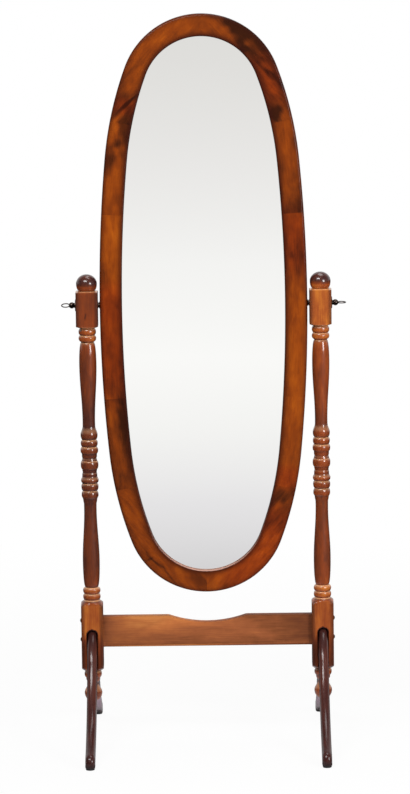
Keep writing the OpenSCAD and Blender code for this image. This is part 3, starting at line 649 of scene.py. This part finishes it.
def leg_piece(name, side, half):
    """The leg's side outline, from its two chains of arcs, as a board whose upper, lower and end
    edges are rounded, standing in the post's groove and on its glide. The colour is darker
    towards the floor, painted shade darkens it in the groove, and it is darkest at the sole."""
    upper, lower = arc_chain(*LEG_UPPER_EDGE), arc_chain(*LEG_LOWER_EDGE)
    foot = np.linspace(upper[-1], lower[0], 6)[1:-1]
    wall = np.linspace(lower[-1], upper[0], 12)[1:-1]
    outline = np.concatenate([upper, foot, lower, wall])
    radius = np.repeat([LEG_UPPER_ROUND, LEG_END_ROUND, LEG_LOWER_ROUND, LEG_END_ROUND],
                       [len(upper), len(foot), len(lower), len(wall)])
    rings = board(outline, LEG_T, radius, steps=7)
    y = half * np.clip(rings[..., 0], GROOVE_FLOOR, LEG_REACH)
    z = np.maximum(rings[..., 1], GLIDE_T)
    grid = np.stack([side * POST_X + rings[..., 2], y, z], -1)
    # Painted shade in the post's groove; darker towards the floor
    dark = (np.clip((150 - z) / 140, 0, 1) + np.clip((z - 190) / 30, 0, 1)).ravel()
    sole = np.clip((16 - z) / 10, 0, 1).ravel()
    # Painted light from the white floor pales the undersides of the rear legs, most in their
    # middle: half a sine over the outline's height
    under = ((half > 0) * (radius == LEG_LOWER_ROUND)
             * np.sin(np.pi * np.clip((outline[:, 1] - 6) / 100, 0, 1)))
    painted_floor_light = np.broadcast_to(under, z.shape).ravel()
    piece = grid_piece(name + "_wood", grid, {
        "tone": 0.02 - 0.18 * dark, "edge": 0.7 * sole, "painted_light": 0.6 * painted_floor_light})
    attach(piece, "stand")
    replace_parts(piece, name)
    return piece


# ---- Stretcher ----
def stretcher_outline():
    """The board from the front: the scoop of its top edge is one wide hollow arc between two
    small round corners. The arcs meet on the line between their centres, so each corner turns by
    the angle whose tangent is the scoop's half width over the centres' difference in height."""
    end, top, low = POST_INNER, STRETCHER_TOP, STRETCHER_LOW
    hollow_r = (SCOOP_HALF ** 2 + SCOOP_DEPTH ** 2) / (2 * SCOOP_DEPTH) - SCOOP_CORNER_R
    turn = np.degrees(np.arctan2(SCOOP_HALF, SCOOP_CORNER_R + hollow_r - SCOOP_DEPTH))
    scoop = arc_chain((SCOOP_HALF, top), 180, [
        (SCOOP_CORNER_R, turn), (hollow_r, -2 * turn), (SCOOP_CORNER_R, turn)], 1.5)
    return np.concatenate([
        np.linspace([end, top], [SCOOP_HALF, top], 40)[:-1],
        scoop,
        np.linspace([-SCOOP_HALF, top], [-end, top], 40)[1:],
        np.linspace([-end, top], [-end, low], 12)[1:],
        np.linspace([-end, low], [end, low], 90)[1:-1],
        np.linspace([end, low], [end, top], 12)[:-1]])


def stretcher_piece():
    """The outline as a board with its long edges rounded, and the barrel nuts' holes bored in
    from the rear. The colour is lightest left of the middle, and painted light makes it lighter
    down the board. The toner fades as exp(-d squared), d being the distance from the long edges
    over 4 mm."""
    outline = stretcher_outline()
    # The ends stay nearly square, flush with the posts
    at_post, square = np.abs(outline[:, 0]) > POST_INNER - 0.01, 0.02
    rings = board(outline, STRETCHER_T, np.where(at_post, square, STRETCHER_ROUND))
    grid = np.stack([rings[..., 0], rings[..., 2], rings[..., 1]], -1)
    x, z = grid[..., 0].ravel(), grid[..., 2].ravel()
    tone = np.interp(x, [-216, -190, -150, -105, -60, 0, 70, 130, 180, 216],
                     [-0.16, 0.02, 0.26, 0.32, 0.22, 0.05, -0.06, -0.11, -0.18, -0.24])
    # Painted light: lighter towards the lower edge, in place of light the lamps don't bring there
    tone += 0.1 * np.clip((STRETCHER_TOP - z) / (STRETCHER_TOP - STRETCHER_LOW), 0, 1)
    near_edge = (np.exp(-((z - STRETCHER_LOW) / 4) ** 2)
                 + 0.5 * np.exp(-((STRETCHER_TOP - z) / 4) ** 2))
    piece = grid_piece("stretcher_wood", grid, {"tone": tone, "edge": 0.5 * near_edge})
    rear = STRETCHER_T / 2
    bore = lathe(np.array([(NUT_HOLE_R, rear - NUT_HOLE_DEPTH), (NUT_HOLE_R, rear + 2)]))
    backwards = [(1, 0, 0), (0, 0, -1), (0, 1, 0)]
    cut(piece, [grid_piece("hole", place(bore, backwards, (side * NUT_X, 0, height)))
                for side in (-1, 1) for height in BOLT_HEIGHTS])
    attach(piece, "stand")
    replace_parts(piece, "stretcher")
    return piece


# ---- Metal ----
def outward(side):
    """Row axes for a body made about +Z so that its top points away from the mirror."""
    return [(0, 1, 0), (0, 0, side), (side, 0, 0)]


def dome(r, h, steps=8):
    """Profile of a ball's cap of radius r and height h, from its rim in to the pole. The ball's
    radius is r squared plus h squared, over twice h."""
    ball = (r * r + h * h) / (2 * h)
    a = np.linspace(np.arcsin(r / ball), 0.004, steps)
    return np.stack([ball * np.sin(a), ball * np.cos(a) - ball + h], -1)


def turned_ring(name, corners, side, start):
    """A filleted cross-section (radius, distance along the pivot) carried round the pivot line,
    from start outwards."""
    section = fillet(corners, 3)
    a = np.linspace(0, 2 * np.pi, 56, endpoint=False)[:, None]
    r, h = section[None, :, 0], section[None, :, 1]
    grid = np.stack([r * np.cos(a), r * np.sin(a), h + start + 0 * a], -1)
    return grid_piece(name, place(grid, outward(side), (0, 0, PIVOT_Z)), ring=True)


def thumb_screw(name, side):
    """The screw turned about the pivot line: a shank with a bevelled end, a collar, and a ball
    that is a circle's arc from the collar's neck to its pole."""
    a = np.radians(np.linspace(-62, 89.7, 22))
    ball = np.stack([BALL_R * np.cos(a), BALL_X + BALL_R * np.sin(a)], -1)
    collar_x, neck_r, bevel = BALL_X - BALL_R, 3.6, 0.6
    collar_end = collar_x + COLLAR_T
    collar = fillet([(SHANK_R, collar_x, 0), (COLLAR_R, collar_x, 0.3),
                     (COLLAR_R, collar_end, 0.4), (neck_r, collar_end, 0)], 2)[:-1]
    tip = HALF_W - SHANK_DEPTH
    shank = [(POLE, tip), (SHANK_R - bevel, tip), (SHANK_R, tip + bevel),
             (SHANK_R, collar_x - bevel)]
    profile = np.concatenate([shank, collar, ball])
    return grid_piece(name, place(lathe(profile), outward(side), (0, 0, PIVOT_Z)))


def ring_handle(name, side, turn):
    """A ring of round wire through the ball, a torus that is turned about the pivot line by turn
    degrees from lying flat."""
    u, v = np.meshgrid(np.linspace(0, 2 * np.pi, 64, endpoint=False),
                       np.linspace(0, 2 * np.pi, 20, endpoint=False), indexing="ij")
    wire = RING_WIRE / 2
    reach = RING_R + wire * np.cos(v)
    out, flat, up = reach * np.cos(u), reach * np.sin(u), wire * np.sin(v)
    c, s = np.cos(np.radians(turn)), np.sin(np.radians(turn))
    grid = np.stack([side * (RING_X + out), flat * c - up * s, PIVOT_Z + flat * s + up * c], -1)
    return grid_piece(name, grid, ring=True)


def pivot_hardware(side):
    """Ball-headed screw, ring handle, washer and spacer of one pivot, about the pivot line."""
    word = "left" if side < 0 else "right"
    screw = thumb_screw(word + "_thumb_screw_metal", side)
    ring = ring_handle(word + "_screw_ring_metal", side, RING_TURN[side])
    washer = turned_ring(word + "_washer_metal", [
        (BORE_R, 0, 0.1), (WASHER_R, 0, 0.35), (WASHER_R, WASHER_T, 0.5),
        (BORE_R, WASHER_T, 0.1)], side, POST_OUTER + SEAT_PLAY)
    waist_end = SPACER_T - SPACER_FLANGE_T
    spacer = turned_ring(word + "_pivot_spacer_metal", [
        (BORE_R, 0, 0.1), (SPACER_R, 0, 0.3), (SPACER_R, SPACER_FLANGE_T, 0.3),
        (SPACER_WAIST_R, SPACER_FLANGE_T, 0.2), (SPACER_WAIST_R, waist_end, 0.2),
        (SPACER_R, waist_end, 0.3), (SPACER_R, SPACER_T, 0.3), (BORE_R, SPACER_T, 0.1)],
        side, HALF_W + SPACER_PLAY)
    for piece, node, rides in ((screw, "_thumb_screw", word + "_screw"),
                               (ring, "_screw_ring", word + "_screw"),
                               (washer, "_washer", word + "_washer"),
                               (spacer, "_pivot_spacer", "stand")):
        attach(piece, rides)
        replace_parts(piece, word + node)
    return [screw, ring, washer, spacer]


def stretcher_bolts():
    """Four bolts: a shank from the barrel nut out through the post, and a low domed head."""
    seat, brim_t = POST_OUTER, 0.15
    profile = np.concatenate([
        [(POLE, NUT_X), (BOLT_R, NUT_X), (BOLT_R, seat), (BOLT_HEAD_R - 0.2, seat),
         (BOLT_HEAD_R, seat + brim_t)], dome(BOLT_HEAD_R, BOLT_HEAD_T) + [0, seat + brim_t]])
    piece = join("stretcher_bolts_metal", [
        grid_piece("bolt", place(lathe(profile, 32), outward(side), (0, 0, height)))
        for side in (-1, 1) for height in BOLT_HEIGHTS])
    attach(piece, "stand")
    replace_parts(piece, "stretcher_bolts")
    return piece


def foot_glides():
    """Four round nail-on glides, turned from a section softly rounded at the floor."""
    section = fillet([(POLE, 0, 0), (GLIDE_D / 2, 0, 1.0), (GLIDE_D / 2, GLIDE_T, 0.3),
                      (POLE, GLIDE_T, 0)], 3)
    piece = join("foot_glides_plastic", [
        grid_piece("glide", place(lathe(section, 40), np.eye(3),
                                  (side * POST_X, half * GLIDE_Y, 0)))
        for side in (-1, 1) for half in (-1, 1)])
    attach(piece, "stand")
    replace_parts(piece, "foot_glides")
    return piece


# ---- Finishes ----
def mirror_silver():
    """Float glass silvered on its back: it reflects nearly all light, evenly and sharply."""
    made, tree, out = material("silvered_glass")
    surface = add(tree, "BsdfPrincipled", {"Base Color": linear("#FDFDFD"), "Metallic": 1.0,
                                           "Roughness": 0.0})
    tree.links.new(surface.outputs[0], out.inputs["Surface"])
    return made


def finishes():
    """Every finish by the parts that have it. The woods' pores are about 0.1 mm wide on the real
    beech, and are drawn ten times as coarse so that they show."""
    return {
        # Beech stained orange-brown, toned darker along its edges, under rubbed lacquer, with a
        # painted highlight along its lower sight edge
        "frame": lacquered_wood(
            "stained_beech_frame", ["#341608", "#58260C", "#7C360C", "#98480E", "#B05C14"],
            pores=(30, 0.9, 0.9), clouds=(60, 22, 22), curl=(14, 9, 9), spread=0.5,
            edge="#2C0F0A", shine=0.15, gloss=0.2, where="board"),
        # Beech stained red-brown with its grain upright, under full gloss lacquer; its painted
        # highlights are golden
        "posts": lacquered_wood(
            "stained_beech_posts",
            ["#3A1E1C", "#522618", "#6C3014", "#863A12", "#A0501A", "#BC6C22"],
            pores=(1.2, 1.2, 40), clouds=(18, 18, 60), curl=(8, 8, 15), spread=0.4,
            edge="#22100E", shine=1.0, gloss=0.1, lustre="#E6A877"),
        # Beech stained dark, with bright lacquer, and pale grey painted floor light under the rear
        # legs
        "legs": lacquered_wood(
            "stained_beech_legs", ["#2C1614", "#401E1A", "#562A20", "#6A3828"],
            pores=(1.2, 20, 20), clouds=(15, 50, 50), curl=(9, 16, 16), spread=0.4,
            edge="#1C0C0E", shine=0.65, gloss=0.15, lustre="#BC9AB0"),
        # Beech stained lighter, its grain along the board, with a thin satin lacquer
        "stretcher": lacquered_wood(
            "stained_beech_stretcher", ["#5A3020", "#7C4628", "#9A5834", "#B66A3A", "#D08448"],
            pores=(40, 1.2, 1.2), clouds=(90, 18, 18), curl=(15, 9, 9), spread=0.4,
            edge="#2A1210", shine=0.1, gloss=0.35),
        # Steel plated dark bronze: a warm grey metal with soft darker mottling
        "bronze": plain_finish("dark_bronze_plate", "#5A4E48", 1.0, 0.28, 0.4, 2.0),
        # Zinc plated steel: pale, slightly dull metal
        "zinc": plain_finish("zinc_plated_steel", "#B4B8BE", 1.0, 0.35, 0.1, 2.0),
        # Turned brass: yellow metal, a little dulled by handling
        "brass": plain_finish("plain_brass", "#B08D4A", 1.0, 0.3, 0.1, 2.0),
        # Moulded polythene: near black with a soft sheen
        "glide": plain_finish("black_polythene", "#1C1A1A", 0.0, 0.55, 0.2, 1.5),
        # Pressed hardboard: brown fibres, dull and blotched
        "hardboard": plain_finish("brown_hardboard", "#7A5638", 0.0, 0.6, 0.25, 2.5),
        # Beech dowel rod left bare: pale and dull
        "dowel": plain_finish("bare_beech", "#C9A26B", 0.0, 0.6, 0.15, 2.0),
        "silver": mirror_silver(),
    }


# ---- Studio ----
# The camera as fitted to the photograph: its place in metres, the degrees by which it looks down,
# to the right and is rolled clockwise, and its focal length in the photograph's pixels
CAMERA_PLACE = (0.0318, -7.0083, 1.7608)
CAMERA_TILT, CAMERA_YAW, CAMERA_ROLL = 8.443, -0.255, 0.717
FOCAL_PX, PHOTO_HEIGHT_PX, SENSOR_MM = 3454.7, 794, 36


def camera():
    """A long lens seven metres in front of the mirror and a little above it. Its right axis is
    level and its up axis is square to that and to its heading, and the roll then turns both."""
    tilt, yaw, roll = np.radians([CAMERA_TILT, CAMERA_YAW, CAMERA_ROLL])
    ahead = np.array([np.sin(yaw) * np.cos(tilt), np.cos(yaw) * np.cos(tilt), -np.sin(tilt)])
    right = np.array([np.cos(yaw), -np.sin(yaw), 0])
    up = np.cross(right, ahead)
    x = np.cos(roll) * right - np.sin(roll) * up
    y = np.sin(roll) * right + np.cos(roll) * up
    data = bpy.data.cameras.new("camera")
    data.lens, data.sensor_width = FOCAL_PX / PHOTO_HEIGHT_PX * SENSOR_MM, SENSOR_MM
    data.clip_end = 200
    made = bpy.data.objects.new("camera", data)
    made.matrix_world = Matrix.Translation(CAMERA_PLACE) @ Matrix(
        np.stack([x, y, -ahead], 1).tolist()).to_4x4()
    bpy.context.scene.collection.objects.link(made)
    bpy.context.scene.camera = made


def room():
    """White room: the camera sees plain white, glossy surfaces see a room that is dark behind the
    camera and overhead and white at the back, and the rest of the light is soft and even. The
    room's shade follows the direction's Y less 0.55 times its height."""
    world = bpy.data.worlds.new("studio")
    bpy.context.scene.world = world
    world.use_nodes = True
    tree = world.node_tree
    tree.nodes.clear()
    out = tree.nodes.new("ShaderNodeOutputWorld")
    ray = add(tree, "LightPath").outputs
    sky = add(tree, "SeparateXYZ", {0: add(tree, "TexCoord").outputs["Generated"]})
    height = add(tree, "Math", {0: sky.outputs["Z"], 1: 0.0}, operation="MAXIMUM")
    depth = add(tree, "Math", {0: height.outputs[0], 1: -0.55, 2: sky.outputs["Y"]},
                operation="MULTIPLY_ADD")
    walls = add(tree, "ValToRGB", {"Fac": add(tree, "MapRange", {
        "Value": depth.outputs[0], "From Min": -1.0, "From Max": 1.0}).outputs[0]}, ramp=[
        (0.0, "#1E1C1C"), (0.2, "#262424"), (0.36, "#6A6664"), (0.5, "#B8B4B2"), (0.7, "#F0F0F0")])
    glossy = add(tree, "Background", {"Color": walls.outputs["Color"], "Strength": 1.0})
    even = add(tree, "Background", {"Color": linear("#FFFFFF"), "Strength": 0.24})
    white = add(tree, "Background", {"Color": linear("#FFFFFF"), "Strength": 1.0})
    lit = add(tree, "MixShader", {0: ray["Is Glossy Ray"], 1: even.outputs[0],
                                  2: glossy.outputs[0]})
    seen = add(tree, "MixShader", {0: ray["Is Camera Ray"], 1: lit.outputs[0],
                                   2: white.outputs[0]})
    tree.links.new(seen.outputs[0], out.inputs["Surface"])


def paper_floor():
    """A sweep of white paper. The camera sees paper that takes the mirror's shadow near it and
    turns to plain white with the distance. The mirror glass sees a pale ramp over one divided by
    the distance, and lacquered surfaces see a floor that darkens with the distance."""
    far = 40000.0
    floor = mesh_piece("floor", np.array([
        (-far, -far, 0), (far, -far, 0), (far, far, 0), (-far, far, 0)]), [(0, 1, 2, 3)])
    made, tree, out = material("white_paper_floor")
    ray = add(tree, "LightPath").outputs
    distance = add(tree, "VectorMath", {0: add(tree, "TexCoord").outputs["Object"]},
                   operation="LENGTH").outputs["Value"]
    paper = add(tree, "BsdfDiffuse", {"Color": linear("#F2F2F2")})
    glow = add(tree, "Emission", {"Color": linear("#FFFFFF"), "Strength": 1.0})
    share = add(tree, "MapRange", {"Value": distance, "From Min": 0.6, "From Max": 2.2,
                                   "To Min": 0.94, "To Max": 1.0})
    seen = add(tree, "MixShader", {0: share.outputs[0], 1: paper.outputs[0], 2: glow.outputs[0]})
    nearness = add(tree, "Math", {0: 1.0, 1: distance}, operation="DIVIDE")
    sweep = add(tree, "ValToRGB", {"Fac": nearness.outputs[0]}, ramp=[
        (0.0, "#DBDAD6"), (0.035, "#E1E0DD"), (0.07, "#EBEAE8"), (0.11, "#F5F5F3"),
        (0.17, "#FBFBF9"), (0.24, "#F5F5F3"), (0.36, "#E6E5E6"), (0.56, "#D3D2D3")])
    in_glass = add(tree, "Emission", {"Color": sweep.outputs["Color"], "Strength": 1.0})
    away = add(tree, "ValToRGB", {"Fac": add(tree, "MapRange", {
        "Value": distance, "From Min": 0.3, "From Max": 1.3}).outputs[0]}, ramp=[
        (0.0, "#C8C4C6"), (0.2, "#7A7676"), (0.5, "#2A2826")])
    in_lacquer = add(tree, "Emission", {"Color": away.outputs["Color"], "Strength": 1.0})
    straight = add(tree, "MixShader", {0: ray["Is Camera Ray"], 1: paper.outputs[0],
                                       2: seen.outputs[0]})
    mirrored = add(tree, "MixShader", {0: ray["Is Singular Ray"], 1: in_lacquer.outputs[0],
                                       2: in_glass.outputs[0]})
    shown = add(tree, "MixShader", {0: ray["Is Glossy Ray"], 1: straight.outputs[0],
                                    2: mirrored.outputs[0]})
    tree.links.new(shown.outputs[0], out.inputs["Surface"])
    floor.data.materials.append(made)


def softbox(name, place_at, size, power, unlit):
    """A rectangular lamp turned towards the middle of the mirror. The collection unlit holds the
    pieces that don't show it."""
    aim = Vector((0, 0, 0.8))
    data = bpy.data.lights.new(name, "AREA")
    data.shape, data.size, data.size_y = "RECTANGLE", size[0], size[1]
    data.energy = power
    made = bpy.data.objects.new(name, data)
    made.location = place_at
    made.rotation_euler = (aim - Vector(place_at)).to_track_quat("-Z", "Y").to_euler()
    made.light_linking.receiver_collection = unlit
    bpy.context.scene.collection.objects.link(made)


def softboxes(glass):
    """Three softboxes, in front, at the right and above, which the glass doesn't show."""
    unlit = bpy.data.collections.new("unlit_by_lamps")
    unlit.objects.link(glass)
    unlit.collection_objects[0].light_linking.link_state = "EXCLUDE"
    softbox("front_softbox", (-0.8, -2.1, 2.9), (1.7, 0.8), 60, unlit)
    softbox("right_softbox", (1.9, -2.2, 1.35), (0.9, 1.15), 50, unlit)
    softbox("top_softbox", (0.3, 0.3, 3.4), (1.6, 1.2), 24, unlit)


# ---- Making it ----
def dress(nodes):
    """Makes every skin and pairs it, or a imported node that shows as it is, with its finish."""
    finish = finishes()
    dressed = {}
    for name in SEGMENTS:
        dressed[frame_segment(name)] = "frame"
    for side in (-1, 1):
        dressed[post_piece(side)] = "posts"
        for piece in pivot_hardware(side):
            dressed[piece] = "bronze"
        for half in (-1, 1):
            name = f"{'front' if half < 0 else 'rear'}_{'left' if side < 0 else 'right'}_leg"
            dressed[leg_piece(name, side, half)] = "legs"
    dressed[stretcher_piece()] = "stretcher"
    dressed[stretcher_bolts()] = "bronze"
    dressed[foot_glides()] = "glide"
    for name, kind in (("mirror_glass", "silver"), ("back_panel", "hardboard"),
                       ("back_panel_screws", "zinc"), ("stretcher_barrel_nuts", "zinc"),
                       ("leg_dowels", "dowel"), ("frame_dowels", "dowel"),
                       ("left_threaded_insert", "brass"), ("right_threaded_insert", "brass")):
        dressed[nodes[name]] = kind
    for piece, kind in dressed.items():
        piece.data.materials.clear()
        piece.data.materials.append(finish[kind])


def main():
    """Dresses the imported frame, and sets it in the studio."""
    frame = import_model()
    bpy.context.scene.view_settings.view_transform = "Standard"
    dress(frame["nodes"])
    room()
    paper_floor()
    softboxes(frame["nodes"]["mirror_glass"])
    camera()


main()
